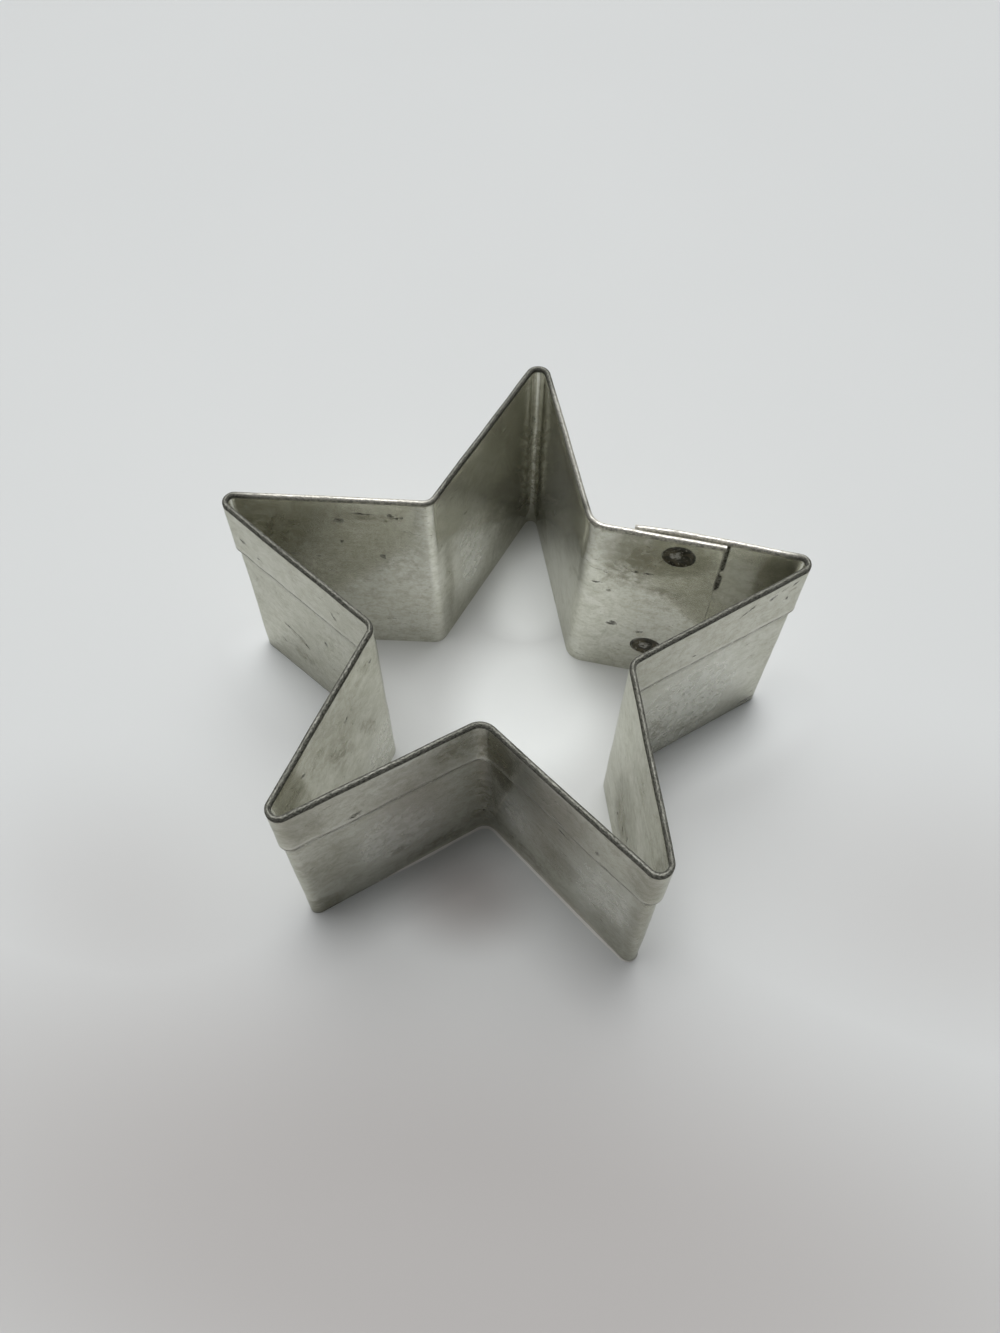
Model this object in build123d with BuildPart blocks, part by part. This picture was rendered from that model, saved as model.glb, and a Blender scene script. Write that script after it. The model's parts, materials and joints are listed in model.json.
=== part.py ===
from build123d import *
from math import asin, cos, degrees, radians, sin
import os

os.makedirs("parts", exist_ok=True)

# A star pastry cutter: one strip of tinplate with its upper edge hemmed outwards, bent ten times,
# its two ends lapped on one wall and held by two spot welds.
# Millimetres. Z is up, the raw cutting edge lies on Z = 0, and the far tip points along +Y.

# Driving sizes of the sheet and its hem
cutter_height = 31.75
sheet = 0.28
hem_gap = 0.08
hem_depth = 8.5

# Driving sizes of the star, at the middle line of the folded rim
tip_reach = 37.6
valley_reach = 15.25
tip_bend_radius = 1.15
valley_bend_radius = 1.5

# The lap of the two ends, measured along the wall from the valley beside it
lap_setback = 4.9
lap_length = 10.75
lap_clearance = 0.16

# The spot welds; each lies a share of the lap's length from the outer end of the strip
weld_diameter = 4.0
weld_dish = 0.06
upper_weld_drop = 3.2
upper_weld_share = 0.53
lower_weld_height = 7.2
lower_weld_share = 0.42

# The bends as the maker's jig left them, in the order that the strip takes from its inner end.
# Each row: reach as a share of the even reach, degrees off the even place, and bend radius
# as a share of the even bend radius. Valleys and tips take turns, and the first is a valley.
bend_shares = [
    (1.005, 0.0, 1.60),
    (1.019, -0.4, 1.10),
    (1.068, 2.5, 1.00),
    (1.003, 1.4, 0.92),
    (0.942, 1.1, 1.00),
    (0.977, 1.0, 1.00),
    (0.950, -0.2, 1.30),
    (1.004, -1.4, 1.12),
    (1.034, -2.5, 1.00),
    (0.995, -1.1, 0.92),
]

# Sizes that follow
bend_count = len(bend_shares)
bend_step = 360 / bend_count
first_bend_angle = 90 - bend_step
rim_half_width = sheet + hem_gap / 2
lap_pitch = 2 * rim_half_width + lap_clearance
fold_height = cutter_height - rim_half_width
hem_foot = cutter_height - hem_depth
weld_radius = weld_diameter / 2
up = Vector(0, 0, 1)


def bend_point(row):
    """Sharp corner of one bend, before its radius is put in."""
    reach_share, nudge, _ = bend_shares[row]
    reach = reach_share * (valley_reach if row % 2 == 0 else tip_reach)
    angle = radians(first_bend_angle + bend_step * row + nudge)
    return Vector(reach * cos(angle), reach * sin(angle))


def bend_radius(row):
    """Radius of one bend at the middle line of the rim."""
    even_radius = valley_bend_radius if row % 2 == 0 else tip_bend_radius
    return bend_shares[row][2] * even_radius


# The route of the strip starts at its inner end and goes anticlockwise, seen from above.
# Its outer end comes back beside the inner end, further out by the pitch of the lap.
bends = [bend_point(row) for row in range(bend_count)]
radii = [bend_radius(row) for row in range(bend_count)]
lap_wall = bends[0] - bends[-1]
lap_turn = asin(lap_pitch / lap_wall.length)
lap_run = lap_wall.length * cos(lap_turn)
lap_along = lap_wall.normalized().rotate(Axis.Z, -degrees(lap_turn))
lap_out = lap_along.cross(up)
inner_end = bends[0] - lap_along * (lap_setback + lap_length)
outer_end = bends[-1] + lap_along * (lap_run - lap_setback)
corners = [inner_end, *bends, outer_end]

# The star stands centred on its own box
with BuildLine() as rough_route:
    FilletPolyline(*corners, radius=radii)
middle = rough_route.line.bounding_box().center()
with BuildLine() as route:
    strip_path = FilletPolyline(*[corner - middle for corner in corners], radius=radii)

# Plane across the strip at its inner end: local X points out of the star, local Y is up
start_along = strip_path % 0
section_plane = Plane(origin=strip_path @ 0, x_dir=start_along.cross(up), z_dir=-start_along)


def weld_origin(along_share, height):
    """Centre of a weld, half way between the middle lines of the lap's two layers."""
    from_valley = lap_setback + lap_length * along_share
    return bends[0] - middle - lap_along * from_valley + lap_out * (lap_pitch / 2) + up * height


upper_weld_origin = weld_origin(upper_weld_share, cutter_height - upper_weld_drop)
lower_weld_origin = weld_origin(lower_weld_share, lower_weld_height)

# From a weld's centre to the sheet faces that it ends on. The upper weld goes through both
# walls and both hem legs, the lower one through the two walls only.
weld_inner_reach = lap_pitch / 2 + rim_half_width
upper_weld_outer_reach = lap_pitch / 2 + rim_half_width
lower_weld_outer_reach = lap_pitch / 2 - hem_gap / 2
weld_cut_reach = 2 * weld_inner_reach

# The strip: wall, fold over the top, and hem leg down the outside, swept along the route.
# The sheets give way to the welds, whose metal is melted out of them.
with BuildPart() as hemmed_strip:
    with BuildSketch(section_plane):
        with BuildLine():
            Line((-rim_half_width, 0), (-rim_half_width, fold_height))
            CenterArc((0, fold_height), rim_half_width, 180, -180)
            Polyline(
                (rim_half_width, fold_height),
                (rim_half_width, hem_foot),
                (hem_gap / 2, hem_foot),
                (hem_gap / 2, fold_height),
            )
            CenterArc((0, fold_height), hem_gap / 2, 0, 180)
            Polyline((-hem_gap / 2, fold_height), (-hem_gap / 2, 0), (-rim_half_width, 0))
        make_face()
    sweep(path=strip_path)
    for weld_centre in (upper_weld_origin, lower_weld_origin):
        with BuildSketch(Plane(origin=weld_centre, x_dir=lap_along, z_dir=lap_out)):
            Circle(weld_radius)
        extrude(amount=weld_cut_reach, both=True, mode=Mode.SUBTRACT)
hemmed_strip.part.label = "hemmed_strip"


def weld_profile(inner_reach, outer_reach):
    """Half section of a weld, local X along its axis: flush rims, faces dished by the electrodes."""
    TangentArc((-inner_reach + weld_dish, 0), (-inner_reach, weld_radius), tangent=(0, 1))
    Line((-inner_reach, weld_radius), (outer_reach, weld_radius))
    TangentArc((outer_reach - weld_dish, 0), (outer_reach, weld_radius), tangent=(0, 1))
    Line((outer_reach - weld_dish, 0), (-inner_reach + weld_dish, 0))


with BuildPart() as upper_spot_weld:
    with BuildSketch(Plane(origin=upper_weld_origin, x_dir=lap_out, z_dir=-lap_along)):
        with BuildLine():
            weld_profile(weld_inner_reach, upper_weld_outer_reach)
        make_face()
    revolve(axis=Axis(upper_weld_origin, lap_out))
upper_spot_weld.part.label = "upper_spot_weld"

with BuildPart() as lower_spot_weld:
    with BuildSketch(Plane(origin=lower_weld_origin, x_dir=lap_out, z_dir=-lap_along)):
        with BuildLine():
            weld_profile(weld_inner_reach, lower_weld_outer_reach)
        make_face()
    revolve(axis=Axis(lower_weld_origin, lap_out))
lower_spot_weld.part.label = "lower_spot_weld"

for piece in (hemmed_strip, upper_spot_weld, lower_spot_weld):
    export_step(piece.part, f"parts/{piece.part.label}.step")
    print(piece.part.label, "volume", round(piece.part.volume, 2), "valid", piece.part.is_valid)
print("strip length", round(strip_path.length, 2), "box", hemmed_strip.part.bounding_box())
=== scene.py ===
# %% [markdown]
# # A star cookie cutter
#
# A tinplate pastry cutter is one long strip of sheet. Its upper edge is folded over and pressed
# nearly flat, the strip is bent round a star-shaped jig, and its two ends are lapped on one wall
# and spot welded. This lesson keeps that order: a flat strip, the hem, the welds' seats, the
# bends with the faults of hand work, and last the finish and the light.

# %% The frame
import json
from math import asin, atan2, cos, exp, hypot, pi, radians, sin, tan
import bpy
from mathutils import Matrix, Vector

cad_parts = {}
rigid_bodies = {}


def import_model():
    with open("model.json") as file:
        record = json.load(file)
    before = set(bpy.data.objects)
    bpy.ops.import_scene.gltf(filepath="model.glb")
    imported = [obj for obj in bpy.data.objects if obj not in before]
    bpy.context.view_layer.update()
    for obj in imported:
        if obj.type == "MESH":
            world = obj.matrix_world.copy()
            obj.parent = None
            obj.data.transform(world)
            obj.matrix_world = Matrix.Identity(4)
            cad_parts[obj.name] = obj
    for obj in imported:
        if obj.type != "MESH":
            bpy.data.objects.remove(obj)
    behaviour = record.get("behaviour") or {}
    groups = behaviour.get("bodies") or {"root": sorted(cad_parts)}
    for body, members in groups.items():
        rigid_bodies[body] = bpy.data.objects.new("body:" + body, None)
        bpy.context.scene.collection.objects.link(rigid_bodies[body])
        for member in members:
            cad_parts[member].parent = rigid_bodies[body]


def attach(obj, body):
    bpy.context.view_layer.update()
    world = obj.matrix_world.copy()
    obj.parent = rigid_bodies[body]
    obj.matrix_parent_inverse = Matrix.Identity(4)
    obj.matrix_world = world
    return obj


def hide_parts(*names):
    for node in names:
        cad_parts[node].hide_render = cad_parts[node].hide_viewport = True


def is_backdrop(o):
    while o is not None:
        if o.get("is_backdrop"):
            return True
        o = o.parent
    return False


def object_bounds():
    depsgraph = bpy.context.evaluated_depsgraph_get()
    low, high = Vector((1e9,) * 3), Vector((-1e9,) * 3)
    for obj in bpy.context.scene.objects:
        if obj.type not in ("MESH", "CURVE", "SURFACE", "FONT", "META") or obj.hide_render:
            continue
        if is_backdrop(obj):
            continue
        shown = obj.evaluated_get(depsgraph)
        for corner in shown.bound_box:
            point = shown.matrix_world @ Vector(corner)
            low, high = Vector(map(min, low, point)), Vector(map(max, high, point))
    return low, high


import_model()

from types import SimpleNamespace

import bmesh
import bpy
from mathutils import Matrix, Vector, noise

MM = 0.001


def in_mm(*lengths):
    """Lengths in millimetres, rounded for printing."""
    return [round(length / MM, 2) for length in lengths]


solid_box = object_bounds()
print("box of the solids in mm:", [in_mm(*corner) for corner in solid_box])

# %% [markdown]
# The sizes below are those of the real cutter. Blender reckons in metres, so each is written as
# the millimetres on a maker's rule, times MM.

# %% Sizes of the sheet, the star and the lap
cutter_height = 31.75 * MM
sheet = 0.28 * MM
hem_gap = 0.08 * MM
hem_depth = 8.5 * MM
tip_reach = 37.6 * MM
valley_reach = 15.25 * MM
tip_bend_radius = 1.15 * MM
valley_bend_radius = 1.5 * MM
lap_setback = 4.9 * MM
lap_length = 10.75 * MM
lap_clearance = 0.16 * MM

# Places across the sheet are counted from the middle of the hem's gap, inwards
inner_face = sheet + hem_gap / 2
wall_outer_face = hem_gap / 2
hem_outer_face = -inner_face
wall_middle = (hem_gap + sheet) / 2
lap_pitch = 2 * inner_face + lap_clearance
fold_height = cutter_height - inner_face
hem_foot = cutter_height - hem_depth

# Each bend from the strip's inner end: reach as a share of the even reach, degrees off the even
# place, and bend radius as a share of the even radius. Valleys and tips take turns, a valley first.
bend_shares = [
    (1.005, 0.0, 1.60), (1.019, -0.4, 1.10), (1.068, 2.5, 1.00), (1.003, 1.4, 0.92),
    (0.942, 1.1, 1.00), (0.977, 1.0, 1.00), (0.950, -0.2, 1.30), (1.004, -1.4, 1.12),
    (1.034, -2.5, 1.00), (0.995, -1.1, 0.92),
]
first_bend_angle = 54
bend_step = 360 / len(bend_shares)
print("pitch of the lap in mm:", in_mm(lap_pitch))

# %% [markdown]
# The route of the strip is a line with rounded corners, seen from above. A bend needs many short
# steps and a flat wall only a few, so the stations along the route are laid out bend by bend.
# The outer end of the strip comes back beside the inner end, further out by the pitch of the lap.

# %% Corners and radii of the bends
def is_valley(order):
    """Valleys and tips take turns, a valley first."""
    return order % 2 == 0


def bend_corner(order):
    """The sharp corner of a bend, before it is rounded."""
    reach_share, nudge, _ = bend_shares[order]
    reach = reach_share * (valley_reach if is_valley(order) else tip_reach)
    angle = radians(first_bend_angle + bend_step * order + nudge)
    return Vector((reach * cos(angle), reach * sin(angle)))


def bend_radius(order):
    """The radius of a bend, at the middle of the hemmed sheet."""
    radius_share = bend_shares[order][2]
    return radius_share * (valley_bend_radius if is_valley(order) else tip_bend_radius)


def turned(vector, angle):
    """A flat vector turned anticlockwise by an angle."""
    return Matrix.Rotation(angle, 2) @ vector


bends = [bend_corner(order) for order in range(len(bend_shares))]
radii = [bend_radius(order) for order in range(len(bend_shares))]
lap_wall = bends[0] - bends[-1]
lap_turn = asin(lap_pitch / lap_wall.length)
lap_along = turned(lap_wall.normalized(), -lap_turn)
inner_end = bends[0] - lap_along * (lap_setback + lap_length)
outer_end = bends[-1] + lap_along * (lap_wall.length * cos(lap_turn) - lap_setback)
print("ends of the strip in mm:", in_mm(*inner_end), in_mm(*outer_end))

# %% The route of the strip
flat_step = 1.0 * MM
bend_step_angle = radians(9)
fewest_bend_steps = 4


def between(start, end):
    """Stations on a flat stretch, without its first point."""
    steps = max(1, round((end - start).length / flat_step))
    return [start.lerp(end, step / steps) for step in range(1, steps + 1)]


def rounded_route(corners, radii):
    """The stations of the route, and the station in the middle of each bend."""
    stations = [corners[0].copy()]
    bend_middles = []
    for before, corner, after, radius in zip(corners, corners[1:], corners[2:], radii):
        into = (corner - before).normalized()
        leave = (after - corner).normalized()
        turn = atan2(into.x * leave.y - into.y * leave.x, into.dot(leave))
        side = turned(into, pi / 2 if turn > 0 else -pi / 2)
        bend_start = corner - into * (radius * tan(abs(turn) / 2))
        centre = bend_start + side * radius
        stations += between(stations[-1], bend_start)
        steps = max(fewest_bend_steps, round(abs(turn) / bend_step_angle))
        bend_middles.append(len(stations) - 1 + steps // 2)
        angles = [turn * step / steps for step in range(1, steps + 1)]
        stations += [centre + turned(bend_start - centre, angle) for angle in angles]
    stations += between(stations[-1], corners[-1])
    return stations, bend_middles


def halfway(points, axis):
    """The middle of the points' reach along an axis."""
    places = [point[axis] for point in points]
    return (min(places) + max(places)) / 2


stations, bend_middles = rounded_route([inner_end, *bends, outer_end], radii)
star_middle = Vector((halfway(stations, 0), halfway(stations, 1)))
stations = [point - star_middle for point in stations]
runs = [0.0]
for here, there in zip(stations, stations[1:]):
    runs.append(runs[-1] + (there - here).length)
strip_length = runs[-1]
print("stations:", len(stations), " strip length in mm:", in_mm(strip_length))

# %% [markdown]
# The camera looks steeply down on the near side of the star, from a little to the right, and is
# barely tilted. It is set by its direction and distance from a point on the table.

# %% The camera
view_azimuth = radians(6.78)
view_elevation = radians(60.55)
view_roll = radians(0.87)
view_distance = 154.27 * MM
view_target = Vector((-1.22 * MM, 9.75 * MM, 0)) - star_middle.to_3d()
picture_height = 1333
focal_pixels = 1100
sensor_size = 36

view_back = Vector((
    sin(view_azimuth) * cos(view_elevation),
    -cos(view_azimuth) * cos(view_elevation),
    sin(view_elevation),
))
level_right = Vector((cos(view_azimuth), sin(view_azimuth), 0))
level_up = view_back.cross(level_right)
view_right = level_right * cos(view_roll) + level_up * sin(view_roll)
view_up = view_back.cross(view_right)
camera_data = bpy.data.cameras.new("photo_camera")
camera_data.sensor_fit = "VERTICAL"
camera_data.sensor_height = sensor_size
camera_data.lens = focal_pixels * sensor_size / picture_height
camera_data.clip_start = 5 * MM
camera = bpy.data.objects.new("photo_camera", camera_data)
bpy.context.scene.collection.objects.link(camera)
view_turn = Matrix((view_right, view_up, view_back)).transposed().to_4x4()
camera.matrix_world = Matrix.Translation(view_target + view_back * view_distance) @ view_turn
bpy.context.scene.camera = camera
print("camera at mm:", in_mm(*camera.matrix_world.translation))

# %% [markdown]
# ## The flat strip and its hem
#
# A grid is the flat blank: one column of faces between every two stations, and rows from the
# cutting edge to the fold, closest together near that edge, where wear turns the sheet out.
# Standing it up along X lets the spin operator roll its top edge over, as a folding machine does,
# and extruding that edge downwards makes the leg of the hem. The sheet has no thickness yet:
# Solidify gives it one on both sides of its middle surface.

# %% Helpers for modelling
def deselect_all():
    """Nothing selected and nothing active."""
    for other in bpy.context.view_layer.objects:
        other.select_set(False)
    bpy.context.view_layer.objects.active = None


def activate(piece):
    """Only this piece selected, and active."""
    deselect_all()
    piece.select_set(True)
    bpy.context.view_layer.objects.active = piece


def select_vertices(piece, wanted):
    """In edit mode, only the vertices that wanted(place) accepts are selected."""
    bpy.ops.object.mode_set(mode="EDIT")
    bpy.ops.mesh.select_mode(type="VERT")
    shape = bmesh.from_edit_mesh(piece.data)
    for vertex in shape.verts:
        vertex.select_set(wanted(vertex.co))
    shape.select_flush_mode()
    bmesh.update_edit_mesh(piece.data)


def apply_modifier(piece, kind, **settings):
    """Adds a modifier, sets it and applies it."""
    activate(piece)
    modifier = piece.modifiers.new(kind.lower(), kind)
    for name, value in settings.items():
        setattr(modifier, name, value)
    bpy.ops.object.modifier_apply(modifier=modifier.name)


# %% The flat blank
wall_rows = 36
row_crowding = 2.1
grid_digits = 5

deselect_all()
bpy.ops.mesh.primitive_grid_add(x_subdivisions=len(runs) - 1, y_subdivisions=wall_rows, size=1)
strip = bpy.context.object
strip.name = "tinplate_strip"
columns = sorted({round(vertex.co.x, grid_digits) for vertex in strip.data.vertices})
rows = sorted({round(vertex.co.y, grid_digits) for vertex in strip.data.vertices})
column_of = {place: order for order, place in enumerate(columns)}
row_of = {place: order for order, place in enumerate(rows)}
for vertex in strip.data.vertices:
    run = runs[column_of[round(vertex.co.x, grid_digits)]]
    row_share = row_of[round(vertex.co.y, grid_digits)] / (len(rows) - 1)
    vertex.co = (run, wall_middle, fold_height * row_share ** row_crowding)
print("columns and rows of the blank:", len(columns), len(rows), " stations:", len(runs))

# %% The fold and the leg of the hem
fold_steps = 8
hem_rows = 8

select_vertices(strip, lambda place: place.z > fold_height - sheet / 10)
bpy.ops.mesh.spin(steps=fold_steps, angle=pi, center=(0, 0, fold_height), axis=(-1, 0, 0))
leg_step = (fold_height - hem_foot) / hem_rows
for _ in range(hem_rows):
    bpy.ops.mesh.extrude_region_move(TRANSFORM_OT_translate={"value": (0, 0, -leg_step)})
bpy.ops.object.mode_set(mode="OBJECT")
sides = sorted({round(vertex.co.y / MM, 3) for vertex in strip.data.vertices})
print("places across the fold in mm:", sides)
print("top in mm:", in_mm(max(vertex.co.z for vertex in strip.data.vertices)))

# %% Thickness, and slightly rounded raw edges
edge_round = 0.035 * MM
edge_angle = radians(50)

apply_modifier(strip, "SOLIDIFY", thickness=sheet, offset=0, use_even_offset=True)
apply_modifier(
    strip, "BEVEL", width=edge_round, segments=1, limit_method="ANGLE", angle_limit=edge_angle)
across = [vertex.co.y for vertex in strip.data.vertices]
print("across the hem in mm:", in_mm(min(across), max(across)), " vertices:", len(across))

# %% [markdown]
# ## Seats for the two spot welds
#
# A spot weld melts the lapped sheets together in a disc. While the strip is still flat its seats
# are easy to place: each weld goes through the inner end and, one lap further along, through the
# outer end. A boolean with round punches cuts them.

# %% Weld seats
weld_radius = 2.0 * MM
upper_weld_height = cutter_height - 3.2 * MM
lower_weld_height = 7.2 * MM
upper_weld_share = 0.53
lower_weld_share = 0.42
seat_sides = 64
punch_length = 4 * inner_face
seat_places = []
for share, height in ((upper_weld_share, upper_weld_height), (lower_weld_share, lower_weld_height)):
    seat_places.append((lap_length * (1 - share), height))
    seat_places.append((strip_length - lap_length * share, height))

for run, height in seat_places:
    deselect_all()
    bpy.ops.mesh.primitive_cylinder_add(
        vertices=seat_sides, radius=weld_radius, depth=punch_length,
        location=(run, 0, height), rotation=(pi / 2, 0, 0))
    punch = bpy.context.object
    apply_modifier(strip, "BOOLEAN", operation="DIFFERENCE", object=punch, solver="EXACT")
    bpy.data.objects.remove(punch)
print("vertices after the seats:", len(strip.data.vertices))

# %% [markdown]
# Before the strip is bent, each vertex is told where it lies on the flat blank: along the strip,
# across the sheet and above the cutting edge. The finish reads these three numbers later, so that
# rolling marks, stains and scratches follow the metal round the bends. A fourth number says how far
# the vertex is above the raw edge of the hem, where dirt and painted shade make a dark line.

# %% Places on the flat blank
# Height, seed and length of each wave in the hem's raw edge
foot_waves = [(0.16 * MM, 9.7, 7 * MM), (0.10 * MM, 3.1, 2.5 * MM)]


def wander(run, seed, size):
    """Slow random drift along the strip, between about -1 and 1."""
    return 2 * noise.noise(Vector((run / size, seed, 0)))


def foot_height(run):
    """How high the hem's raw edge stands, which is never quite level."""
    return hem_foot + sum(rise * wander(run, seed, size) for rise, seed, size in foot_waves)


def leg_share(place):
    """0 on the wall and at the fold, growing to 1 at the raw edge of the hem."""
    on_leg = place.y < -hem_gap / 4 and place.z < fold_height
    return (fold_height - place.z) / (fold_height - hem_foot) if on_leg else 0


strip.data.attributes.new("flat_place", "FLOAT_VECTOR", "POINT")
strip.data.attributes.new("above_foot", "FLOAT", "POINT")
flat_place = strip.data.attributes["flat_place"].data
above_foot = strip.data.attributes["above_foot"].data
for vertex in strip.data.vertices:
    vertex.co.z += leg_share(vertex.co) * (foot_height(vertex.co.x) - hem_foot)
    flat_place[vertex.index].vector = vertex.co
    above_foot[vertex.index].value = vertex.co.z - foot_height(vertex.co.x)
last_place = flat_place[len(flat_place) - 1].vector
print("last place on the blank in mm:", in_mm(*last_place))

# %% [markdown]
# ## Bending
#
# A vertex moves to the station that lies at its run, and out from it as far as it lay from the
# middle line of the hem, so the sheet keeps its thickness round every bend. On top of that come
# the small faults of hand work. First the corners, whose feet don't stand straight under the rim.

# %% How the walls lean
# How far each bend's foot stands from its rim, in millimetres along X and Y, bend by bend
foot_leans = [
    (-0.65, 0.32), (-0.02, 0.00), (0.05, 0.11), (-0.24, -0.25), (0.10, 0.16),
    (-0.20, -0.14), (0.27, 0.90), (0.30, -0.20), (0.02, -0.03), (0.15, -0.09),
]
inner_end_lean = (0.00, 0.38)
outer_end_lean = (0.00, -0.06)
all_leans = [inner_end_lean, *foot_leans, outer_end_lean]
lean_runs = [0.0] + [runs[station] for station in bend_middles] + [strip_length]
lean_vectors = [Vector((x * MM, y * MM)) for x, y in all_leans]

# The tips are drawn in a little, which leaves room for the hem's uneven edge in the solids' box
tip_draw = 0.14 * MM
tip_pulls = [Vector((0, 0))]
for order, station in enumerate(bend_middles):
    pull = 0 if is_valley(order) else tip_draw
    tip_pulls.append(-stations[station].normalized() * pull)
tip_pulls.append(Vector((0, 0)))
print("runs of the bends in mm:", in_mm(*lean_runs))

# %% [markdown]
# A station's direction across the strip is halfway between those of the stretches before and after
# it, and longer where the strip turns, as in a mitred corner.

# %% Directions across the route
sharpest_mitre = 0.5


def in_steps(value, places, results):
    """The result that belongs to a value, straight between its neighbours."""
    for low, high, first, second in zip(places, places[1:], results, results[1:]):
        if value <= high:
            return first.lerp(second, min(1, max(0, (value - low) / (high - low))))
    return results[-1]


across_route = []
for order, point in enumerate(stations):
    before = stations[max(order - 1, 0)]
    after = stations[min(order + 1, len(stations) - 1)]
    into = (point - before).normalized() if order else (after - point).normalized()
    leave = (after - point).normalized() if order < len(stations) - 1 else into
    along = (into + leave).normalized()
    across_route.append(turned(along, pi / 2) / max(sharpest_mitre, along.dot(into)))
print("directions across the route:", len(across_route))

# %% [markdown]
# The other faults are small functions of the place on the blank, each a shift across the sheet:
# the hem stands off, the outer end bows, the cutting edge turns out, and the walls swell and dent.

# %% Faults of hand work
near_valley_run = runs[bend_middles[6]]
hem_lift = 0.03 * MM
pucker_depth = 0.25 * MM
pucker_half_length = 2.2 * MM
lap_bow = 0.17 * MM
lap_bow_length = 1.75 * lap_length
lap_tuck = 0.10 * MM
lap_tuck_length = 2.5 * MM
burr_height = 0.16 * MM
burr_reach = 0.34 * MM
burr_middle = near_valley_run + 6 * MM
burr_half_length = 19 * MM
swell_depth = 0.09 * MM
swell_size = 11 * MM
swell_seed = 4 * MM
dent_depth = 0.05 * MM
dent_size = 4.5 * MM
dent_seed = 60 * MM
stiff_foot = 3 * MM


def hem_spread(place):
    """How far the hem's leg stands off the wall, most where the near valley crowds it."""
    lift = hem_lift * (1 + wander(place.x, seed=5.2, size=9 * MM))
    pucker = pucker_depth * exp(-((place.x - near_valley_run) / pucker_half_length) ** 2)
    return leg_share(place) ** 3 * (lift + pucker)


def lap_swell(place):
    """The outer end hugs the lap at its very edge and bows away from it further on."""
    from_end = strip_length - place.x
    bow = lap_bow * sin(pi * min(1, from_end / lap_bow_length))
    return bow - lap_tuck * exp(-from_end / lap_tuck_length)


def burr(place):
    """The cutting edge of the two near walls is turned outwards into a narrow lip."""
    rise = max(0, 1 - place.z / burr_height)
    worn = exp(-((place.x - burr_middle) / burr_half_length) ** 6)
    return burr_reach * rise * worn * (1 + 0.2 * wander(place.x, seed=7.7, size=5 * MM))


def dents(place):
    """The walls are never flat: long swells, and shallow dents a few millimetres wide."""
    swell = noise.noise(Vector((place.x, place.z, swell_seed)) / swell_size)
    dent = noise.noise(Vector((place.x, place.z, dent_seed)) / dent_size)
    return (swell_depth * swell + dent_depth * dent) * min(1, place.z / stiff_foot)


# %% Bending the strip round the star
crest_height = cutter_height - 0.002 * MM
smooth_angle = radians(35)


def bent(place):
    """Where a point of the flat strip goes; the fold stays just below the top of the solids."""
    station = in_steps(place.x, runs, stations)
    out = in_steps(place.x, runs, across_route)
    drop = 1 - place.z / cutter_height
    lean = in_steps(place.x, lean_runs, lean_vectors) * drop
    pull = in_steps(place.x, lean_runs, tip_pulls)
    side = place.y - hem_spread(place) - lap_swell(place) - burr(place) + dents(place)
    flat = station + out * side + (lean + pull)
    return Vector((flat.x, flat.y, min(place.z, crest_height)))


for vertex in strip.data.vertices:
    vertex.co = bent(vertex.co)
activate(strip)
bpy.ops.object.shade_smooth_by_angle(angle=smooth_angle)
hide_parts("hemmed_strip")
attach(strip, "root")
low = [min(vertex.co[axis] for vertex in strip.data.vertices) for axis in range(3)]
high = [max(vertex.co[axis] for vertex in strip.data.vertices) for axis in range(3)]
print("bent strip in mm:", in_mm(*low), in_mm(*high))
print("triangles:", sum(len(face.vertices) - 2 for face in strip.data.polygons))

# %% [markdown]
# ## The spot welds
#
# An electrode leaves a round print: a flat lip, a sunken ring of scorched metal and a paler button
# in the middle. A cylinder is the start of each weld, as long as the lap is thick at that place, and
# its two end faces are inset ring by ring and pushed in or out.

# %% The rings of a weld
weld_lip = 0.015 * MM
weld_sides = 72
crater = Vector((0.45 * MM, 0.10 * MM))
splash_reach = 0.95
splash_size = 0.7 * MM
splash_rise = 0.03 * MM
splash_stretch = 0.10

# Width and rise of each ring in millimetres, from the lip inwards
weld_rings = [(0.16, 0.00), (0.20, -0.07), (0.50, -0.05), (0.22, 0.05), (0.30, 0.03)]


def press_rings(weld, half_depth):
    """Each end face is raised into the lip, and then inset ring after ring."""
    for end in (-1, 1):
        select_vertices(weld, lambda place: abs(place.z - end * half_depth) < sheet / 20)
        bpy.ops.mesh.select_mode(type="FACE")
        bpy.ops.transform.translate(value=(0, 0, end * weld_lip))
        for width, rise in weld_rings:
            bpy.ops.mesh.inset(thickness=width * MM, depth=rise * MM)
        bpy.ops.mesh.poke()
        bpy.ops.object.mode_set(mode="OBJECT")


def splash_metal(weld, seed):
    """Vertices learn how far they lie from the middle and the crater, and are made uneven."""
    weld.data.attributes.new("weld_spread", "FLOAT", "POINT")
    weld.data.attributes.new("from_crater", "FLOAT", "POINT")
    spread = weld.data.attributes["weld_spread"].data
    from_crater = weld.data.attributes["from_crater"].data
    for vertex in weld.data.vertices:
        from_middle = hypot(vertex.co.x, vertex.co.y) / weld_radius
        spread[vertex.index].value = from_middle
        from_crater[vertex.index].value = (vertex.co.xy - crater).length / weld_radius
        splash = noise.noise(Vector((vertex.co.x, vertex.co.y, seed * MM)) / splash_size)
        if from_middle < splash_reach:
            vertex.co.z += splash_rise * splash
            vertex.co.x *= 1 + splash_stretch * splash


# %% The two welds
weld_smooth_angle = radians(50)
lap_out = turned(lap_along, -pi / 2)
weld_axes = Matrix((lap_along.to_3d(), Vector((0, 0, 1)), lap_out.to_3d()))
weld_turn = weld_axes.transposed().to_4x4()


def lap_faces(share, height, outer_face):
    """The points of the lap's inner and outer face at a weld's middle."""
    inner = bent(Vector((lap_length * (1 - share), inner_face, height)))
    outer = bent(Vector((strip_length - lap_length * share, outer_face, height)))
    return inner, outer


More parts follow.
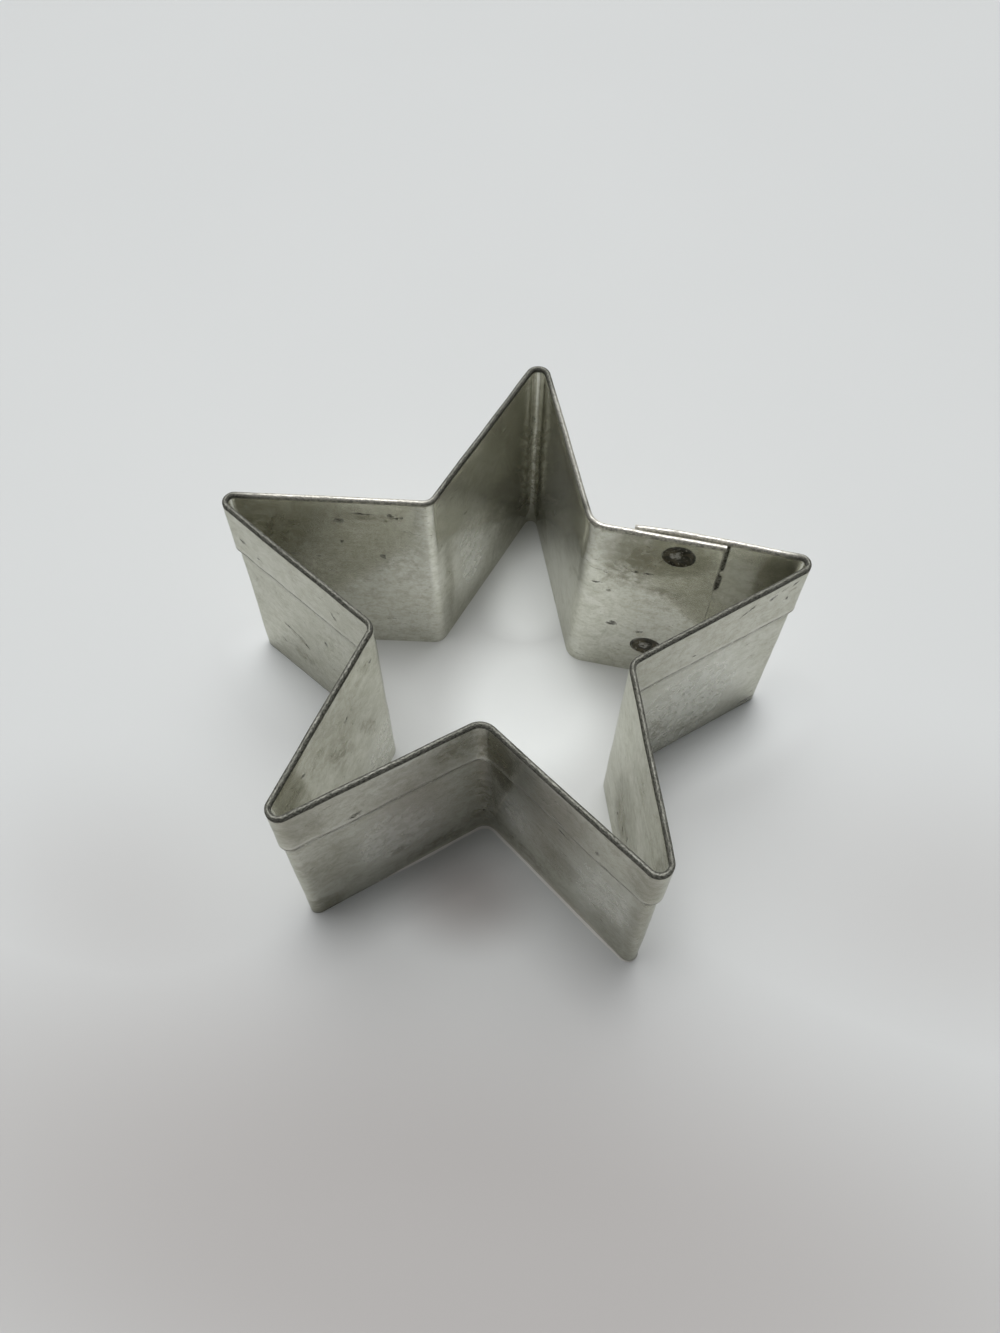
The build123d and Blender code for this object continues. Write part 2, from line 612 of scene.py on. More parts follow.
def make_weld(name, node, faces, seed):
    """One weld between the two faces of the lap."""
    inner, outer = faces
    half_depth = (outer - inner).dot(lap_out.to_3d()) / 2
    deselect_all()
    bpy.ops.mesh.primitive_cylinder_add(
        vertices=weld_sides, radius=weld_radius + weld_lip, depth=2 * half_depth)
    weld = bpy.context.object
    weld.name = name
    press_rings(weld, half_depth)
    splash_metal(weld, seed)
    to_place = Matrix.Translation((inner + outer) / 2) @ weld_turn
    for vertex in weld.data.vertices:
        vertex.co = to_place @ vertex.co
    activate(weld)
    bpy.ops.object.shade_smooth_by_angle(angle=weld_smooth_angle)
    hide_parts(node)
    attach(weld, "root")
    print(name, "depth and middle in mm:", in_mm(2 * half_depth), in_mm(*to_place.translation))
    return weld


upper_faces = lap_faces(upper_weld_share, upper_weld_height, hem_outer_face)
lower_faces = lap_faces(lower_weld_share, lower_weld_height, wall_outer_face)
upper_weld = make_weld("upper_weld_print", "upper_spot_weld", upper_faces, 1)
lower_weld = make_weld("lower_weld_print", "lower_spot_weld", lower_faces, 2)

# %% [markdown]
# ## Shader maths as expressions
#
# A finish is arithmetic on masks. The small class below wraps one output socket, so that adding or
# multiplying two of them adds the Math node that does it. Colours are mixed with a Mix node,
# because a Math node would turn them grey.

# %% A socket that can be reckoned with
class Tone:
    """One number, or one colour, that varies over a surface."""

    def __init__(self, board, socket):
        self.board = board
        self.socket = socket

    def __add__(self, other):
        return self.board.math("ADD", self, other)

    def __radd__(self, other):
        return self.board.math("ADD", other, self)

    def __sub__(self, other):
        return self.board.math("SUBTRACT", self, other)

    def __rsub__(self, other):
        return self.board.math("SUBTRACT", other, self)

    def __mul__(self, other):
        return self.board.math("MULTIPLY", self, other)

    def __rmul__(self, other):
        return self.board.math("MULTIPLY", other, self)

    def __truediv__(self, other):
        return self.board.math("DIVIDE", self, other)

    def __pow__(self, other):
        return self.board.math("POWER", self, other)

    def __abs__(self):
        return self.board.math("ABSOLUTE", self)

    def most(self, other):
        return self.board.math("MAXIMUM", self, other)

    def band(self, low, high):
        """0 below low, 1 above high, smooth between; the other way round if low is larger."""
        rise = {"Value": self, "From Min": min(low, high), "From Max": max(low, high)}
        settings = {"interpolation_type": "SMOOTHSTEP"}
        smooth = self.board.node("ShaderNodeMapRange", settings, rise)
        return smooth if low < high else 1 - smooth


# %% [markdown]
# A board is the node tree that a finish is built on. One method adds every node, whatever its
# type, and the others are short names for nodes that come up again and again.

# %% The board that nodes are added to
# A Mix node has a set of sockets for each kind of data. These are the ones for colours.
MIX_FIRST_COLOUR = 6
MIX_SECOND_COLOUR = 7
MIX_COLOUR_RESULT = 2


class Board:
    """The node tree of a material or of the sky, built up from nothing."""

    def __init__(self, owner):
        owner.use_nodes = True
        self.owner = owner
        self.tree = owner.node_tree
        self.tree.nodes.clear()

    def node(self, kind, settings, sockets=(), output=0):
        """Adds a node: settings first, then its sockets' values or links. Gives one output."""
        made = self.tree.nodes.new(kind)
        for name, value in settings.items():
            setattr(made, name, value)
        pairs = sockets.items() if isinstance(sockets, dict) else enumerate(sockets)
        for key, value in pairs:
            if isinstance(value, Tone):
                self.tree.links.new(value.socket, made.inputs[key])
            else:
                made.inputs[key].default_value = value
        return Tone(self, made.outputs[output]) if made.outputs else None

    def math(self, operation, *values):
        """Arithmetic on numbers."""
        return self.node("ShaderNodeMath", {"operation": operation}, values)

    def vector_math(self, operation, *values):
        """Arithmetic on places or colours, part by part."""
        return self.node("ShaderNodeVectorMath", {"operation": operation}, values)

    def mix(self, share, first, second):
        """A colour between two colours."""
        first, second = [
            value if isinstance(value, Tone) else (*value, 1) for value in (first, second)]
        sockets = {"Factor": share, MIX_FIRST_COLOUR: first, MIX_SECOND_COLOUR: second}
        return self.node("ShaderNodeMix", {"data_type": "RGBA"}, sockets, MIX_COLOUR_RESULT)

    def parts(self, vector):
        """The three numbers of a vector."""
        first = self.node("ShaderNodeSeparateXYZ", {}, [vector])
        return [Tone(self, socket) for socket in first.socket.node.outputs]

    def joined(self, x, y, z=0):
        """A vector from three numbers."""
        return self.node("ShaderNodeCombineXYZ", {}, [x, y, z])

    def attribute(self, name, output="Fac"):
        """A number or a place that each vertex was given."""
        return self.node("ShaderNodeAttribute", {"attribute_name": name}, output=output)

    def texture_place(self, output="Object"):
        """The place that a texture is read at."""
        return self.node("ShaderNodeTexCoord", {}, output=output)

    def noise(self, vector, scale, detail=2, roughness=0.5, distortion=0, output=0):
        """A noise texture, cloudy at a small scale and speckled at a large one."""
        sockets = {
            "Vector": vector, "Scale": scale, "Detail": detail,
            "Roughness": roughness, "Distortion": distortion,
        }
        return self.node("ShaderNodeTexNoise", {}, sockets, output)

    def bump(self, strength, depth, relief):
        """A normal that makes a surface look raised where relief is high."""
        sockets = {"Strength": strength, "Distance": depth, "Height": relief}
        return self.node("ShaderNodeBump", {}, sockets)

    def finish(self, **sockets):
        """Ends the material in a Principled shader."""
        named = {name.replace("_", " "): value for name, value in sockets.items()}
        shader = self.node("ShaderNodeBsdfPrincipled", {}, named)
        self.node("ShaderNodeOutputMaterial", {}, {"Surface": shader})
        print(self.owner.name, "nodes:", len(self.tree.nodes))
        return self.owner


# %% [markdown]
# ## Old tinplate
#
# Tinplate is bright when new and dulls to a soft, slightly green grey. It still mirrors what stands
# round it, so the finish is a fairly sharp metal, and what makes it old is how that mirror breaks
# up: rolling lines, cloudy mottling, rubbed streaks, dark spots where the tin has gone, and dirt
# wherever a cloth can't reach. Some of the colour is painted light and shade besides: painted shade
# in the seams, on the fold's flanks and over reflections that came out too bright, painted light
# where they came out too dark, a painted highlight on the rims' crowns and a painted line of light
# on the near cutting edge. All of it is laid out on the flat blank, in millimetres. First come the
# marks that sit at one place each.

# %% Marks at one place each
INSIDE = inner_face / MM
WALL = wall_outer_face / MM
HEM = hem_outer_face / MM


def on_face(face, marks):
    """The marks of one face, each with that face in front."""
    return [(face, *mark) for mark in marks]


# place along the strip and height, half length and half height in mm, and turn in degrees
dark_marks = on_face(INSIDE, [
    (77.5, 27.8, 0.55, 0.42, 20), (72.7, 20.7, 0.32, 0.38, 0), (71.2, 29.0, 0.30, 0.24, 0),
    (77.6, 23.6, 0.28, 0.16, 0), (74.6, 29.2, 1.3, 0.10, 4), (70.4, 28.6, 0.8, 0.12, -8),
    (41.7, 4.3, 0.42, 0.30, 0), (44.2, 7.6, 0.24, 0.24, 0), (37.4, 4.6, 1.0, 0.26, 15),
    (41.3, 22.6, 0.20, 0.50, 0), (41.6, 19.8, 0.24, 0.42, 10), (29.6, 15.2, 0.20, 0.50, 0),
    (11.0, 11.6, 0.50, 0.26, 10), (7.4, 10.4, 0.40, 0.22, -25), (12.4, 18.9, 0.34, 0.18, 0),
    (205.9, 7.0, 0.16, 0.85, 12), (203.4, 8.8, 0.18, 0.95, -14), (206.9, 5.0, 0.14, 0.60, 0),
    (195.6, 15.8, 0.16, 0.60, 0), (124.8, 24.6, 0.34, 0.34, 0), (133.6, 27.5, 0.42, 0.24, 30),
    (8.1, 23.9, 0.60, 0.20, 0), (9.6, 23.9, 0.50, 0.14, 4), (11.1, 11.2, 0.70, 0.22, 0),
    (13.9, 20.2, 0.50, 0.16, 0), (118.4, 27.6, 0.34, 0.36, 0), (201.4, 10.0, 0.16, 0.8, 0),
]) + on_face(WALL, [
    (97.9, 11.4, 0.55, 0.24, -20), (99.6, 11.2, 1.60, 0.12, -12), (101.2, 10.0, 0.70, 0.20, -30),
    (105.8, 15.7, 0.26, 0.52, 0), (96.2, 6.2, 0.50, 0.20, -30), (164.3, 6.0, 0.26, 0.24, 0),
    (176.6, 20.6, 1.2, 0.20, -14), (224.0, 14.6, 1.7, 0.10, 12), (236.4, 1.2, 1.4, 0.34, 0),
]) + on_face(HEM, [
    (175.8, 24.2, 0.9, 0.22, -10), (183.3, 23.6, 1.1, 0.14, -8), (229.4, 29.2, 1.1, 0.26, 30),
    (232.9, 29.4, 0.60, 0.32, 35), (235.3, 27.6, 0.22, 0.36, 0), (236.0, 30.0, 0.40, 0.16, 30),
    (148.8, 24.5, 0.8, 0.42, 16), (109.4, 26.2, 0.20, 0.60, 30), (93.8, 26.6, 0.50, 0.30, 0),
    (96.6, 25.4, 0.60, 0.12, -20), (144.8, 31.4, 0.50, 0.34, 0), (173.8, 26.2, 0.90, 0.12, -10),
    (181.6, 25.4, 0.24, 0.40, 0), (222.6, 25.2, 0.30, 0.20, 0),
])
# Some soft stains are painted shade: on the near valley's bend they paint a dark reflection, and on
# the far tip's bend they dim a bright one
soft_stains = on_face(INSIDE, [
    (41.6, 5.2, 3.2, 3.0, 0), (36.0, 7.5, 3.4, 2.4, 20), (10.3, 23.4, 3.6, 3.4, 0),
    (5.0, 20.4, 3.4, 1.6, 25), (127.0, 20.0, 2.2, 5.0, -20), (121.0, 16.0, 1.2, 4.6, -24),
    (204.0, 9.0, 3.4, 4.2, 0), (86.0, 26.0, 5.0, 5.0, 0), (73.6, 28.6, 3.6, 0.9, 0),
    (9.4, 24.1, 2.0, 0.6, 0), (8.4, 27.0, 3.4, 3.6, 0), (40.2, 12.0, 1.8, 12.0, 0),
    (124.9, 24.7, 1.0, 1.0, 0),
]) + on_face(WALL, [
    (164.3, 5.0, 3.6, 4.4, 0), (153.0, 7.0, 1.6, 1.4, 0), (158.0, 3.0, 6.0, 1.8, 8),
    (171.0, 3.6, 6.0, 2.4, -8), (99.9, 10.6, 2.0, 0.75, -14), (219.0, 8.0, 3.6, 3.6, 0),
    (100.0, 6.0, 3.6, 2.0, -20), (226.0, 4.0, 4.6, 1.4, 0), (164.4, 14.0, 1.2, 12.0, 0),
    (167.0, 20.4, 1.2, 3.4, 0),
]) + on_face(HEM, [
    (166.6, 26.4, 2.4, 3.4, 0), (160.4, 28.2, 2.8, 2.2, 10), (164.6, 27.0, 1.5, 4.6, 0),
])
# Some dull films are painted shade as well, darkening the reflections on the near valley's bend and
# the far tip's bend
dull_films = on_face(INSIDE, [
    (124.0, 27.0, 11.0, 8.0, 0), (198.0, 26.0, 12.0, 9.0, 0), (10.6, 27.0, 4.8, 4.0, 0),
    (186.0, 12.0, 4.0, 12.0, 0), (136.0, 24.0, 3.0, 8.0, 0), (204.0, 11.0, 4.4, 7.0, 0),
    (47.0, 6.0, 5.0, 5.0, 0), (40.4, 17.0, 2.0, 17.0, 0), (193.4, 19.0, 4.0, 7.0, 0),
    (63.9, 12.0, 1.2, 11.0, 0),
]) + on_face(WALL, [
    (163.6, 14.0, 2.0, 14.0, 0), (188.4, 12.0, 2.0, 12.0, 0), (145.0, 14.0, 4.0, 8.0, 0),
    (177.0, 11.0, 3.4, 4.0, 0), (185.0, 6.0, 3.8, 5.0, 0),
]) + on_face(HEM, [
    (162.6, 27.0, 6.0, 6.0, 0), (187.6, 27.5, 2.6, 5.0, 0), (143.0, 27.5, 3.0, 4.0, 0),
])
olive_patches = on_face(INSIDE, [
    (7.0, 28.4, 5.8, 4.2, 0), (203.0, 11.0, 5.0, 8.0, 0), (136.5, 27.0, 2.6, 5.0, 0),
    (190.5, 27.0, 2.2, 6.0, 0), (241.6, 26.0, 2.2, 5.6, 0),
]) + on_face(WALL, [
    (167.0, 20.6, 1.5, 3.4, 8), (141.0, 2.0, 4.0, 2.6, 0),
]) + on_face(HEM, [
    (167.0, 27.0, 2.0, 5.0, 0),
])
# Clean patches are partly painted light: they brighten walls whose reflections come out too dark
clean_patches = on_face(INSIDE, [
    (28.0, 15.0, 9.0, 15.0, 0), (118.0, 6.0, 6.0, 8.0, 0), (58.0, 12.0, 4.0, 9.0, 0),
    (246.0, 24.0, 3.4, 5.0, 0),
]) + on_face(WALL, [
    (224.0, 10.0, 10.0, 13.0, 0), (183.0, 13.0, 6.0, 10.0, 0), (153.0, 12.0, 6.0, 8.0, 0),
    (169.4, 13.0, 3.2, 7.0, 0),
])
print("marks:", len(dark_marks), " stains:", len(soft_stains), " films:", len(dull_films))
print("olive patches:", len(olive_patches), " clean patches:", len(clean_patches))

# %% [markdown]
# Each mark is a ball-shaped gradient, stretched and turned to its size. At any point only the
# nearest one counts, and how near it is says how strong the mark is there.

# %% The nearest mark
mark_reach = 1.5
mark_depth = 0.1


def nearest(board, place, marks):
    """0 in the middle of the nearest mark, 1 on its edge, and never more than mark_reach."""
    closest = None
    for face, run, height, half_length, half_height, turn in marks:
        half_sizes = (half_length, half_height, mark_depth)
        sockets = {
            "Vector": place,
            "Location": (run, height, face),
            "Rotation": (0, 0, radians(turn)),
            "Scale": [mark_reach * half_size for half_size in half_sizes],
        }
        moved = board.node("ShaderNodeMapping", {"vector_type": "TEXTURE"}, sockets)
        near = board.node("ShaderNodeTexGradient", {"gradient_type": "SPHERICAL"}, [moved], "Fac")
        closest = near if closest is None else closest.most(near)
    return mark_reach * (1 - closest)


# %% [markdown]
# The grain comes from noise textures on the flat blank. Stretched along the strip, a noise gives
# rolling lines, and stretched upwards, the streaks that rubbing leaves. The sheet's faces are
# drawn apart, so that each has a grain of its own.

# %% Places and grain of the tin
face_spacing = 4
ragged_step = 0.9


def tin_grain(board):
    """Where a point lies on the flat blank in mm, and the noises that break up the tin there."""
    tin = SimpleNamespace()
    flat_place = board.attribute("flat_place", "Vector")
    tin.run, tin.side, tin.height = [part / MM for part in board.parts(flat_place)]

    def laid(along, up):
        return board.joined(along, up, tin.side * face_spacing)

    place = laid(tin.run, tin.height)
    lengthwise = laid(tin.run * 0.10, tin.height)
    upright = laid(tin.run + tin.height * 0.16, tin.height * 0.15)
    aslant = laid(tin.run * 0.22 + tin.height * 0.9, tin.height * 1.7 - tin.run * 0.5)
    tin.clouds = board.noise(place, 0.14, detail=4, roughness=0.6, distortion=0.5)
    tin.mottle = board.noise(place, 0.75, detail=5, roughness=0.68, distortion=0.3)
    tin.specks = board.noise(place, 2.6, detail=4, roughness=0.6)
    tin.rolling = board.noise(lengthwise, 1.7, detail=5, roughness=0.75)
    tin.rubbing = board.noise(upright, 0.9, detail=4, roughness=0.7, distortion=0.2)
    tin.grime = board.noise(place, 0.30, detail=6, roughness=0.74, distortion=1.2)
    tin.worn = board.noise(place, 0.10, detail=2)
    tin.fine = board.noise(place, 3.8, detail=3, roughness=0.6)
    tin.scratching = board.noise(aslant, 1.1, detail=3, roughness=0.6, distortion=0.4)
    jitter = board.noise(place, 2.2, detail=3, output="Color")
    shift = board.vector_math("SUBTRACT", jitter, (0.5, 0.5, 0.5))
    shift = board.vector_math("MULTIPLY", shift, (ragged_step, ragged_step, 0))
    tin.ragged = board.vector_math("ADD", board.joined(tin.run, tin.height, tin.side), shift)
    return tin


# %% [markdown]
# Next come the masks that follow an edge: dirt and painted shade in the seam beside the inner end,
# painted shade on the fold's flanks and crown with a painted highlight where the crown is rubbed, a
# painted line of light on the lip of the cutting edge, and dirt and painted shade at the hem's raw
# edge. Each band() is a smooth step between two places on the blank, in millimetres.

# %% Masks along the seam and the fold
inner_end_line = (strip_length - lap_length) / MM


def seam_dirt(tin):
    """Dirt and painted shade in the corner beside the inner end, thickest behind the hem, and a
    darkened cut edge at the outer end.
    """
    run, side, height = tin.run, tin.side, tin.height
    past_end = inner_end_line - run
    behind_hem = height.band(25.9, 26.5) * 0.42
    under_hem = height.band(21.8, 22.8) * height.band(25.7, 25.0) * 0.50
    width = 0.10 + (behind_hem + under_hem)
    beside = (past_end - width).band(0.12, -0.06) * past_end.band(-0.9, -0.7) * height.band(4, 12)
    on_end = run.band(0.30, 0.05) * height.band(22, 24) * 0.8
    outer_edge = (strip_length / MM - run).band(0.5, 0.15) * height.band(22, 30)
    return (beside.most(on_end) * side.band(0.05, 0.25)).most(outer_edge)


def rim_dirt(tin):
    """The fold's flanks are darkened with painted shade and dirt where its crown is rubbed bright,
    with an uneven border.
    """
    below_crown = (tin.height + 0.07 * (tin.fine - 0.5)).band(31.746, 31.724)
    above_wall = tin.height.band(31.0, 31.4)
    return above_wall * below_crown * (0.5 + 0.5 * tin.mottle.band(0.34, 0.50))


def rim_polish(tin):
    """Where the crown is rubbed bright and painted as a highlight: on the lap, the far left wall and
    beside the far tip.
    """
    on_lap = tin.run.band(19, 14).most(tin.run.band(238, 243))
    far_left = tin.run.band(64, 69) * tin.run.band(91, 84)
    far_tip = tin.run.band(17, 20) * tin.run.band(38, 34) * 0.4
    rubbed = on_lap.most(far_left * 0.8).most(far_tip)
    return rubbed * (0.5 + 0.5 * tin.specks.band(0.40, 0.58))


# %% Masks along the cutting edge and the hem
lip_middle = near_valley_run / MM


def scoured_lip(tin):
    """The turned-out cutting edge of the two near walls is painted as a bright line of light, free of
    dirt.
    """
    on_left = tin.run.band(lip_middle - 17, lip_middle - 11)
    on_right = tin.run.band(lip_middle + 27, lip_middle + 23)
    return on_left * on_right * tin.height.band(0.24, 0.15)


def hem_line(board, tin):
    """The hem's raw edge darkened with dirt and painted shade, painted shade on the wall under it, and
    the rubbed band above the edge.
    """
    above = board.attribute("above_foot") / MM
    on_wall = abs(tin.side - WALL).band(0.06, 0.03)
    on_hem = tin.side.band(-0.2, -0.3)
    broken = 0.2 + 0.8 * tin.mottle.band(0.38, 0.54)
    edge = (above + 0.9 * (tin.mottle - 0.5)).band(0.44, 0.14) * on_hem * broken
    below = above.band(-2.0, -0.7) * above.band(0.20, 0.10) * on_wall * 0.3
    rubbed = above.band(0.24, 0.42) * above.band(1.1, 0.6) * on_hem * tin.mottle.band(0.66, 0.50)
    return edge.most(below), rubbed


# %% [markdown]
# All dirt and painted shade is added up to one mask, because it darkens the metal and also makes it
# rough and dull.

# %% Wear, dirt and painted shade
def add_wear(board, tin):
    """The marks at one place each, partly painted shade and light, and the wear, painted shade and
    painted light that follow an edge.
    """
    specked = 0.35 + 0.65 * tin.specks.band(0.40, 0.54)
    tin.spots = nearest(board, tin.ragged, dark_marks).band(1.35, 0.50) * specked
    tin.stains = nearest(board, tin.ragged, soft_stains).band(1.25, 0.25) * tin.mottle.band(0.30, 0.62)
    patchy = 0.6 + 0.4 * tin.mottle.band(0.6, 0.4)
    tin.clean = nearest(board, tin.ragged, clean_patches).band(1.4, 0.4) * patchy
    mottled = 0.55 + 0.45 * tin.mottle.band(0.3, 0.5)
    tin.olive = nearest(board, tin.ragged, olive_patches).band(1.25, 0.85) * mottled
    clouded = 0.6 + 0.4 * tin.mottle.band(0.3, 0.6)
    tin.film = nearest(board, tin.ragged, dull_films).band(1.25, 0.4) * clouded
    tin.rubbed_lines = tin.rubbing.band(0.56, 0.70) * tin.worn.band(0.46, 0.60)
    tin.hem_edge, tin.hem_rub = hem_line(board, tin)
    tin.polish = rim_polish(tin)
    tin.scoured = scoured_lip(tin)


def add_dirt(tin):
    """Spots, pits, the seam's dirt and painted shade, the hem's edge with painted shade, scratches,
    the foot line and the rim's painted shade as one mask.
    """
    pits = tin.fine.band(0.67, 0.72) * tin.clouds.band(0.38, 0.56)
    scratches = tin.scratching.band(0.66, 0.70) * tin.worn.band(0.42, 0.60)
    in_seam = seam_dirt(tin) * (0.55 + 0.45 * tin.specks.band(0.35, 0.6))
    on_outside = tin.side.band(0.2, 0.0)
    foot_line = tin.height.band(0.40, 0.15) * on_outside * tin.mottle.band(0.34, 0.50) * 0.55
    dirt = (tin.spots * 0.9).most(pits * 0.6).most(in_seam)
    dirt = dirt.most(tin.hem_edge * 0.80).most(scratches * 0.35).most(foot_line)
    # The fold's flanks add their painted shade and dirt, less where the crown is rubbed bright
    tin.dirt = (dirt * (1 - tin.scoured)).most(rim_dirt(tin) * (0.88 - 0.55 * tin.polish))


# %% [markdown]
# The colour starts as cloudy tin. Each layer of wear, painted light and painted shade is then mixed
# over the last, faint ones first and opaque dirt and painted shade near the end. On a metal this
# colour tints what it mirrors.

# %% Colours of the tin
pale_tin = (0.795, 0.79, 0.72)
dull_tin = (0.725, 0.72, 0.64)
mottled_tin = (0.54, 0.53, 0.44)
rolled_tin = (0.49, 0.475, 0.40)
dark_speck = (0.42, 0.41, 0.33)
light_speck = (0.92, 0.92, 0.86)
grimy_tin = (0.44, 0.43, 0.35)
wiped_tin = (0.82, 0.82, 0.76)
clean_tin = (0.98, 0.98, 0.92)
brown_film = (0.34, 0.33, 0.26)
olive_film = (0.25, 0.24, 0.17)
rubbed_grey = (0.34, 0.34, 0.28)
brown_stain = (0.22, 0.20, 0.14)
rubbed_hem = (0.84, 0.83, 0.77)
black_dirt = (0.045, 0.042, 0.030)
dark_tarnish = (0.045, 0.045, 0.038)
light_tarnish = (0.20, 0.198, 0.168)
polished_crown = (0.84, 0.81, 0.73)
scoured_metal = (0.95, 0.92, 0.88)


def tin_colour(board, tin, crown):
    """Cloudy tin with one layer of wear over another, and painted light, shade and highlights among
    them.
    """
    base = board.mix(tin.clouds.band(0.36, 0.62), pale_tin, dull_tin)
    base = board.mix(tin.mottle.band(0.42, 0.64) * 0.55, base, mottled_tin)
    base = board.mix(tin.rolling.band(0.42, 0.70) * 0.20, base, rolled_tin)
    base = board.mix(tin.specks.band(0.50, 0.64) * 0.30, base, dark_speck)
    base = board.mix(tin.specks.band(0.43, 0.34) * 0.24, base, light_speck)
    base = board.mix(tin.grime.band(0.50, 0.66) * 0.36, base, grimy_tin)
    base = board.mix(tin.grime.band(0.44, 0.34) * 0.24, base, wiped_tin)
    # Clean tin, partly painted light
    base = board.mix(tin.clean * 0.72, base, clean_tin)
    # The films and the stains below include painted shade laid over reflections
    base = board.mix(tin.film * 0.52, base, brown_film)
    base = board.mix(tin.olive * 0.60, base, olive_film)
    base = board.mix(tin.rubbed_lines * 0.34, base, rubbed_grey)
    base = board.mix(tin.stains * 0.52, base, brown_stain)
    base = board.mix(tin.hem_rub * 0.5, base, rubbed_hem)
    # Dirt and painted shade, in one dark colour
    base = board.mix(tin.dirt, base, black_dirt)
    # The crown is painted dark with tarnish and painted shade, and painted as a bright highlight where
    # it is rubbed
    tarnish = board.mix(tin.fine.band(0.42, 0.60), dark_tarnish, light_tarnish)
    base = board.mix(crown * 0.85, base, board.mix(tin.polish, tarnish, polished_crown))
    # The lip of the near cutting edge is painted as a bright line of light
    return board.mix(tin.scoured * 0.9, base, scoured_metal)


# %% The finish of the strip
relief_strength = 0.35
relief_depth = 0.012 * MM
grazing_tint = (0.66, 0.66, 0.61, 1)


def tinplate():
    """Dulled tinplate with rolling lines, mottling, streaks, spots, dirt and painted shade in its
    seams, and painted light and highlights on its edges.
    """
    board = Board(bpy.data.materials.new("dull_tinplate"))
    tin = tin_grain(board)
    add_wear(board, tin)
    add_dirt(tin)
    crown = tin.height.band(31.0, 31.3)
    base = tin_colour(board, tin, crown)
    rough = 0.07 + 0.05 * tin.clouds.band(0.36, 0.62) + 0.05 * tin.mottle.band(0.35, 0.7)
    rough = rough + 0.03 * tin.rolling + 0.10 * tin.stains + 0.07 * tin.grime.band(0.46, 0.62)
    rough = rough + 0.06 * tin.film + 0.30 * tin.dirt + crown * (0.42 - 0.24 * tin.polish)
    relief = tin.specks * 0.18 + tin.rolling * 0.4 + tin.mottle * 0.7 + tin.rubbing * 0.25
    return board.finish(
        Base_Color=base,
        Metallic=0.78 - 0.15 * tin.clean - 0.6 * tin.dirt - 0.75 * tin.scoured,
        Roughness=rough,
        Normal=board.bump(relief_strength, relief_depth, relief),
        Specular_Tint=grazing_tint,
    )


strip.data.materials.append(tinplate())

# %% [markdown]
# The weld prints share the tinplate's dullness at their button and lip, but the ring between them
# is burnt nearly black.

# %% The finish of the welds
soot = (0.040, 0.037, 0.028)
scale_brown = (0.115, 0.102, 0.070)
lip_grey = (0.42, 0.42, 0.37)
button_grey = (0.42, 0.41, 0.38)
fleck_grey = (0.46, 0.44, 0.38)
weld_metallic = 0.85
pitting_strength = 0.6
pitting_depth = 0.06 * MM


def weld_metal():
    """Scorched steel, palest in the middle and dark in the ring."""
    board = Board(bpy.data.materials.new("scorched_weld"))
    spread = board.attribute("weld_spread")
    from_crater = board.attribute("from_crater")
    place = board.texture_place()
    smudge = board.noise(place, 800, detail=4, roughness=0.6, distortion=0.8)
    fleck = board.noise(place, 2600, detail=3, roughness=0.6)
    ring = (spread + 0.22 * (smudge - 0.5)).band(1.04, 0.93)
    button = (from_crater + 0.8 * (smudge - 0.5)).band(0.42, 0.22)
    scorched = board.mix(smudge.band(0.42, 0.62), soot, scale_brown)
    base = board.mix(ring, lip_grey, scorched)
    base = board.mix(button * fleck.band(0.34, 0.50) * 0.9, base, button_grey)
    base = board.mix(fleck.band(0.60, 0.70) * 0.7, base, fleck_grey)
    return board.finish(
        Base_Color=base,
        Metallic=weld_metallic,
        Roughness=0.34 + 0.25 * smudge,
        Normal=board.bump(pitting_strength, pitting_depth, smudge + fleck * 0.4),
    )


weld_finish = weld_metal()
for weld in (upper_weld, lower_weld):
    weld.data.materials.append(weld_finish)

# %% [markdown]
# ## Table and light
#
# The cutter is a mirror of its table, so a plain pale floor does half the lighting. Painted light
# and shade on the floor do the rest: painted light inside the star and beside its side walls, a
# little painted shade at the left and the right, and darker, warmer painted shade in front and in the
# near valley, so that each wall mirrors the tone it needs. Soft marks do this, found in the same way
# as those on the tin.

# %% The table
TABLE = 0
table_radius = 0.8
table_sides = 96
table_roughness = 0.75
table_grey = (0.680, 0.690, 0.682)
table_pale = (0.710, 0.720, 0.712)
table_shaded = (0.482, 0.462, 0.448)
table_dark = (0.37, 0.352, 0.340)
table_bright = (0.94, 0.96, 0.95)

# place along X and Y, half length and half width in mm, and turn in degrees
# Painted shade in front, at the two sides and in the near valley; painted light inside the star and
# beside its side walls
front_shade = on_face(TABLE, [(4, -66, 96, 32, 0)])
side_shade = on_face(TABLE, [(61, -21, 30, 20, 0), (-42, -35, 24, 16, -20)])
valley_shade = on_face(TABLE, [(-1, -27, 8.0, 6.4, 0)])
inner_pool = on_face(TABLE, [(4, 1, 11.5, 12, 0), (1.6, 19.5, 6.6, 11, 0)])
side_pools = on_face(TABLE, [(30, -1, 11, 5.5, 37), (-29, -1, 10, 5, -37)])


def table_finish():
    """Pale and matt, with soft marks of painted shade and painted light that the walls mirror."""
    board = Board(bpy.data.materials.new("pale_table"))
    x, y, _ = [part / MM for part in board.parts(board.texture_place())]
    place = board.joined(x, y)
    beside_shade = nearest(board, place, side_shade).band(1.5, 0.0) * 0.45
    shade = nearest(board, place, front_shade).band(1.35, 0.2).most(beside_shade)
    valley = nearest(board, place, valley_shade).band(1.5, 0.1)
    pool = nearest(board, place, inner_pool).band(1.25, 0.5)
    beside_pool = nearest(board, place, side_pools).band(1.5, 0.0) * 0.7
    base = board.mix(board.noise(place, 0.014, detail=3), table_grey, table_pale)
    # The painted shade, the painted valley shadow and the painted light are mixed over the table's
    # grey
    base = board.mix(shade, base, table_shaded)
    base = board.mix(valley, base, table_dark)
    base = board.mix(pool.most(beside_pool), base, table_bright)
    return board.finish(Base_Color=base, Roughness=table_roughness)


